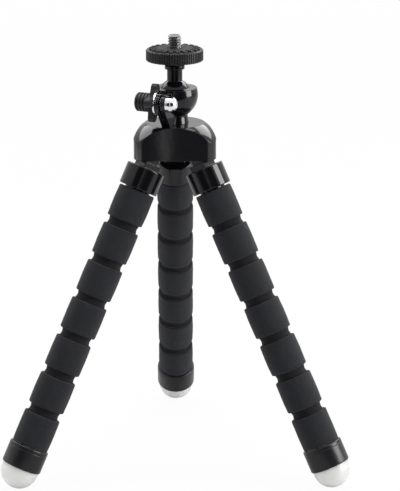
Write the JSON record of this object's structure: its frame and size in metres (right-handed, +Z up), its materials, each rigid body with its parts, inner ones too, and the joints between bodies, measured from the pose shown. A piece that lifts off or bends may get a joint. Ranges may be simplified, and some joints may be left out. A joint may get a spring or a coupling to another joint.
{
  "type": "mini camera tripod",
  "caption": "Small table tripod with bendable foam covered legs on a lobed hub, a clamped ball head and a round knurled plate with a camera screw.",
  "frame": {"origin": "on the tripod's axis, in the plane that its feet stand on", "axes": "+Z up along the axis and the camera screw, +Y over the rear leg, -Y towards the picture's viewer"},
  "size_m": [0.1714, 0.151, 0.2169],
  "materials": {
    "gloss_black": "gloss",
    "matte_black": "satin",
    "cap_black": "semi gloss",
    "pad_rubber": "matte",
    "foam": "open cell foam, matte",
    "foot_clear": "frosted, milky",
    "dark_steel": "blackened",
    "steel": "satin",
    "chrome": "polished",
    "white_nylon": "satin",
    "brass": "satin"
  },
  "bodies": {
    "base": {"hub_shell": "gloss_black", "hub_cover": "matte_black", "cover_screws": "steel", "hinge_pins": "steel", "hinge_washers": "white_nylon", "head_bolt": "steel", "ball_cup": "gloss_black", "clamp_bolt": "chrome", "clamp_washer": "chrome"},
    "liner": {"ball_liner": "white_nylon"},
    "ball": {"ball_stem": "gloss_black", "stem_collar": "gloss_black"},
    "platform": {"platform_disc": "matte_black", "platform_pad": "pad_rubber", "camera_screw": "dark_steel"},
    "knob": {"clamp_knob": "matte_black", "knob_insert": "brass"},
    "leg_1_top": {"leg_1_fitting": "gloss_black", "leg_1_foam_1": "foam", "leg_1_core": "steel"},
    "leg_1_seg_2": {"leg_1_foam_2": "foam"},
    "leg_1_seg_3": {"leg_1_foam_3": "foam"},
    "leg_1_seg_4": {"leg_1_foam_4": "foam"},
    "leg_1_seg_5": {"leg_1_foam_5": "foam"},
    "leg_1_seg_6": {"leg_1_foam_6": "foam"},
    "leg_1_end": {"leg_1_foam_7": "foam", "leg_1_cap": "cap_black", "leg_1_foot": "foot_clear"},
    "leg_2_top": {"leg_2_fitting": "gloss_black", "leg_2_foam_1": "foam", "leg_2_core": "steel"},
    "leg_2_seg_2": {"leg_2_foam_2": "foam"},
    "leg_2_seg_3": {"leg_2_foam_3": "foam"},
    "leg_2_seg_4": {"leg_2_foam_4": "foam"},
    "leg_2_seg_5": {"leg_2_foam_5": "foam"},
    "leg_2_seg_6": {"leg_2_foam_6": "foam"},
    "leg_2_end": {"leg_2_foam_7": "foam", "leg_2_cap": "cap_black", "leg_2_foot": "foot_clear"},
    "leg_3_top": {"leg_3_fitting": "gloss_black", "leg_3_foam_1": "foam", "leg_3_core": "steel"},
    "leg_3_seg_2": {"leg_3_foam_2": "foam"},
    "leg_3_seg_3": {"leg_3_foam_3": "foam"},
    "leg_3_seg_4": {"leg_3_foam_4": "foam"},
    "leg_3_seg_5": {"leg_3_foam_5": "foam"},
    "leg_3_seg_6": {"leg_3_foam_6": "foam"},
    "leg_3_end": {"leg_3_foam_7": "foam", "leg_3_cap": "cap_black", "leg_3_foot": "foot_clear"}
  },
  "joints": [
    {"name": "ball_side_tilt", "type": "hinge", "parent": "base", "child": "liner", "pos_m": [0, 0, 0.18741], "axis": [0, 1, 0], "range_deg": [-24, 24]},
    {"name": "ball_tilt", "type": "hinge", "parent": "liner", "child": "ball", "pos_m": [0, 0, 0.18741], "axis": [-1, 0, 0], "range_deg": [-24, 90]},
    {"name": "platform_spin", "type": "hinge", "parent": "ball", "child": "platform", "pos_m": [0, 0, 0.18741], "axis": [0, 0, 1], "continuous": true},
    {"name": "knob_turn", "type": "hinge", "parent": "base", "child": "knob", "pos_m": [-0.00642, -0.01378, 0.18571], "axis": [0.9063, -0.4226, 0], "range_deg": [0, 40]},
    {"name": "leg_1_spread", "type": "hinge", "parent": "base", "child": "leg_1_top", "pos_m": [0, 0.0118, 0.16082], "axis": [1, 0, 0], "range_deg": [-26.8, 0]},
    {"name": "leg_1_bend_1", "type": "hinge", "parent": "leg_1_top", "child": "leg_1_seg_2", "pos_m": [0, 0.02956, 0.12566], "axis": [-1, 0, 0], "range_deg": [-20, 8], "deforming": ["leg_1_core"]},
    {"name": "leg_1_bend_2", "type": "hinge", "parent": "leg_1_seg_2", "child": "leg_1_seg_3", "pos_m": [0, 0.03851, 0.10794], "axis": [-1, 0, 0], "range_deg": [-20, 8]},
    {"name": "leg_1_bend_3", "type": "hinge", "parent": "leg_1_seg_3", "child": "leg_1_seg_4", "pos_m": [0, 0.04746, 0.09021], "axis": [-1, 0, 0], "range_deg": [-20, 8]},
    {"name": "leg_1_bend_4", "type": "hinge", "parent": "leg_1_seg_4", "child": "leg_1_seg_5", "pos_m": [0, 0.05642, 0.07248], "axis": [-1, 0, 0], "range_deg": [-20, 8]},
    {"name": "leg_1_bend_5", "type": "hinge", "parent": "leg_1_seg_5", "child": "leg_1_seg_6", "pos_m": [0, 0.06537, 0.05476], "axis": [-1, 0, 0], "range_deg": [-20, 8]},
    {"name": "leg_1_bend_6", "type": "hinge", "parent": "leg_1_seg_6", "child": "leg_1_end", "pos_m": [0, 0.07433, 0.03703], "axis": [-1, 0, 0], "range_deg": [-20, 8]},
    {"name": "leg_2_spread", "type": "hinge", "parent": "base", "child": "leg_2_top", "pos_m": [-0.01022, -0.0059, 0.16082], "axis": [-0.5, 0.866, 0], "range_deg": [-26.8, 0]},
    {"name": "leg_2_bend_1", "type": "hinge", "parent": "leg_2_top", "child": "leg_2_seg_2", "pos_m": [-0.0256, -0.01478, 0.12566], "axis": [0.5, -0.866, 0], "range_deg": [-20, 8], "deforming": ["leg_2_core"]},
    {"name": "leg_2_bend_2", "type": "hinge", "parent": "leg_2_seg_2", "child": "leg_2_seg_3", "pos_m": [-0.03335, -0.01926, 0.10794], "axis": [0.5, -0.866, 0], "range_deg": [-20, 8]},
    {"name": "leg_2_bend_3", "type": "hinge", "parent": "leg_2_seg_3", "child": "leg_2_seg_4", "pos_m": [-0.04111, -0.02373, 0.09021], "axis": [0.5, -0.866, 0], "range_deg": [-20, 8]},
    {"name": "leg_2_bend_4", "type": "hinge", "parent": "leg_2_seg_4", "child": "leg_2_seg_5", "pos_m": [-0.04886, -0.02821, 0.07248], "axis": [0.5, -0.866, 0], "range_deg": [-20, 8]},
    {"name": "leg_2_bend_5", "type": "hinge", "parent": "leg_2_seg_5", "child": "leg_2_seg_6", "pos_m": [-0.05661, -0.03269, 0.05476], "axis": [0.5, -0.866, 0], "range_deg": [-20, 8]},
    {"name": "leg_2_bend_6", "type": "hinge", "parent": "leg_2_seg_6", "child": "leg_2_end", "pos_m": [-0.06437, -0.03716, 0.03703], "axis": [0.5, -0.866, 0], "range_deg": [-20, 8]},
    {"name": "leg_3_spread", "type": "hinge", "parent": "base", "child": "leg_3_top", "pos_m": [0.01022, -0.0059, 0.16082], "axis": [-0.5, -0.866, 0], "range_deg": [-26.8, 0]},
    {"name": "leg_3_bend_1", "type": "hinge", "parent": "leg_3_top", "child": "leg_3_seg_2", "pos_m": [0.0256, -0.01478, 0.12566], "axis": [0.5, 0.866, 0], "range_deg": [-20, 8], "deforming": ["leg_3_core"]},
    {"name": "leg_3_bend_2", "type": "hinge", "parent": "leg_3_seg_2", "child": "leg_3_seg_3", "pos_m": [0.03335, -0.01926, 0.10794], "axis": [0.5, 0.866, 0], "range_deg": [-20, 8]},
    {"name": "leg_3_bend_3", "type": "hinge", "parent": "leg_3_seg_3", "child": "leg_3_seg_4", "pos_m": [0.04111, -0.02373, 0.09021], "axis": [0.5, 0.866, 0], "range_deg": [-20, 8]},
    {"name": "leg_3_bend_4", "type": "hinge", "parent": "leg_3_seg_4", "child": "leg_3_seg_5", "pos_m": [0.04886, -0.02821, 0.07248], "axis": [0.5, 0.866, 0], "range_deg": [-20, 8]},
    {"name": "leg_3_bend_5", "type": "hinge", "parent": "leg_3_seg_5", "child": "leg_3_seg_6", "pos_m": [0.05661, -0.03269, 0.05476], "axis": [0.5, 0.866, 0], "range_deg": [-20, 8]},
    {"name": "leg_3_bend_6", "type": "hinge", "parent": "leg_3_seg_6", "child": "leg_3_end", "pos_m": [0.06437, -0.03716, 0.03703], "axis": [0.5, 0.866, 0], "range_deg": [-20, 8]}
  ],
  "couplings": [
    {"joint": "leg_1_bend_2", "follows": "leg_1_bend_1", "ratio": 1},
    {"joint": "leg_1_bend_3", "follows": "leg_1_bend_1", "ratio": 1},
    {"joint": "leg_1_bend_4", "follows": "leg_1_bend_1", "ratio": 1},
    {"joint": "leg_1_bend_5", "follows": "leg_1_bend_1", "ratio": 1},
    {"joint": "leg_1_bend_6", "follows": "leg_1_bend_1", "ratio": 1},
    {"joint": "leg_2_bend_2", "follows": "leg_2_bend_1", "ratio": 1},
    {"joint": "leg_2_bend_3", "follows": "leg_2_bend_1", "ratio": 1},
    {"joint": "leg_2_bend_4", "follows": "leg_2_bend_1", "ratio": 1},
    {"joint": "leg_2_bend_5", "follows": "leg_2_bend_1", "ratio": 1},
    {"joint": "leg_2_bend_6", "follows": "leg_2_bend_1", "ratio": 1},
    {"joint": "leg_3_bend_2", "follows": "leg_3_bend_1", "ratio": 1},
    {"joint": "leg_3_bend_3", "follows": "leg_3_bend_1", "ratio": 1},
    {"joint": "leg_3_bend_4", "follows": "leg_3_bend_1", "ratio": 1},
    {"joint": "leg_3_bend_5", "follows": "leg_3_bend_1", "ratio": 1},
    {"joint": "leg_3_bend_6", "follows": "leg_3_bend_1", "ratio": 1}
  ]
}
